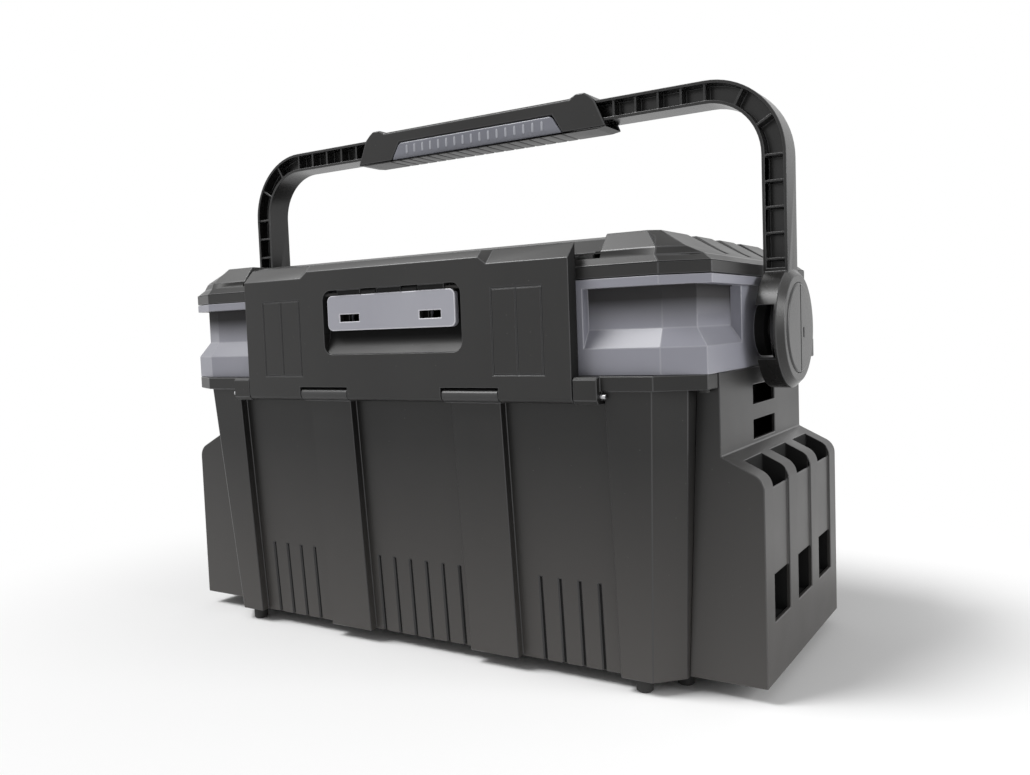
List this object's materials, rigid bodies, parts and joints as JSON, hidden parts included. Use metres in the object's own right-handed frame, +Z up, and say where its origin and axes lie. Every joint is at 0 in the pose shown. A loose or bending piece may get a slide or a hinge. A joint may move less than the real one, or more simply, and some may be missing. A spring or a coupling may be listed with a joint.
{
  "type": "fishing seat box",
  "caption": "Moulded fishing seat box: flared tub, side rod racks, ribbed seat lid, hinged front flap with latch paddle and a swinging bail handle.",
  "frame": {"origin": "middle of the footprint on the floor", "axes": "+X along the box to the right seen from the front, -Y to the front where the flap and latch are, +Z up"},
  "size_m": [0.545, 0.276, 0.4387],
  "materials": {
    "black_plastic": "fine satin moulding, slightly dusty",
    "grey_plastic": "fine satin moulding, bluish grey",
    "rubber": "matt",
    "steel": "drawn wire"
  },
  "bodies": {
    "box": {"tub": "black_plastic", "foot_front_left_outer": "rubber", "foot_front_left_inner": "rubber", "foot_front_right_outer": "rubber", "foot_front_right_inner": "rubber", "foot_rear_left_outer": "rubber", "foot_rear_left_inner": "rubber", "foot_rear_right_outer": "rubber", "foot_rear_right_inner": "rubber", "rod_rack_left": "black_plastic", "rod_rack_right": "black_plastic", "rack_screws_left": "steel", "rack_screws_right": "steel", "upper_frame": "grey_plastic", "frame_screws": "steel", "front_hinge_pin": "steel", "rear_hinge_pin": "steel", "pivot_pin_left": "black_plastic", "pivot_pin_right": "black_plastic"},
    "flap": {"front_flap": "black_plastic", "latch_pin": "steel"},
    "latch": {"latch_paddle": "grey_plastic"},
    "lid": {"lid": "black_plastic"},
    "handle": {"handle_bail": "black_plastic", "pivot_cap_left": "black_plastic", "pivot_cap_right": "black_plastic", "grip_cover": "black_plastic", "grip_insert_front": "grey_plastic", "grip_insert_back": "grey_plastic", "grip_under": "black_plastic"}
  },
  "joints": [
    {"name": "handle_swing", "type": "hinge", "parent": "box", "child": "handle", "pos_m": [0, 0, 0.247], "axis": [1, 0, 0], "range_deg": [-90, 90]},
    {"name": "flap_hinge", "type": "hinge", "parent": "box", "child": "flap", "pos_m": [0, -0.133, 0.2066], "axis": [1, 0, 0], "range_deg": [0, 120]},
    {"name": "latch", "type": "hinge", "parent": "flap", "child": "latch", "pos_m": [0, -0.1344, 0.2858], "axis": [-1, 0, 0], "range_deg": [0, 25], "stiffness_Nm_per_rad": 0.05, "springref_deg": -17.19},
    {"name": "lid_hinge", "type": "hinge", "parent": "box", "child": "lid", "pos_m": [0, 0.1325, 0.288], "axis": [-1, 0, 0], "range_deg": [0, 28]}
  ]
}
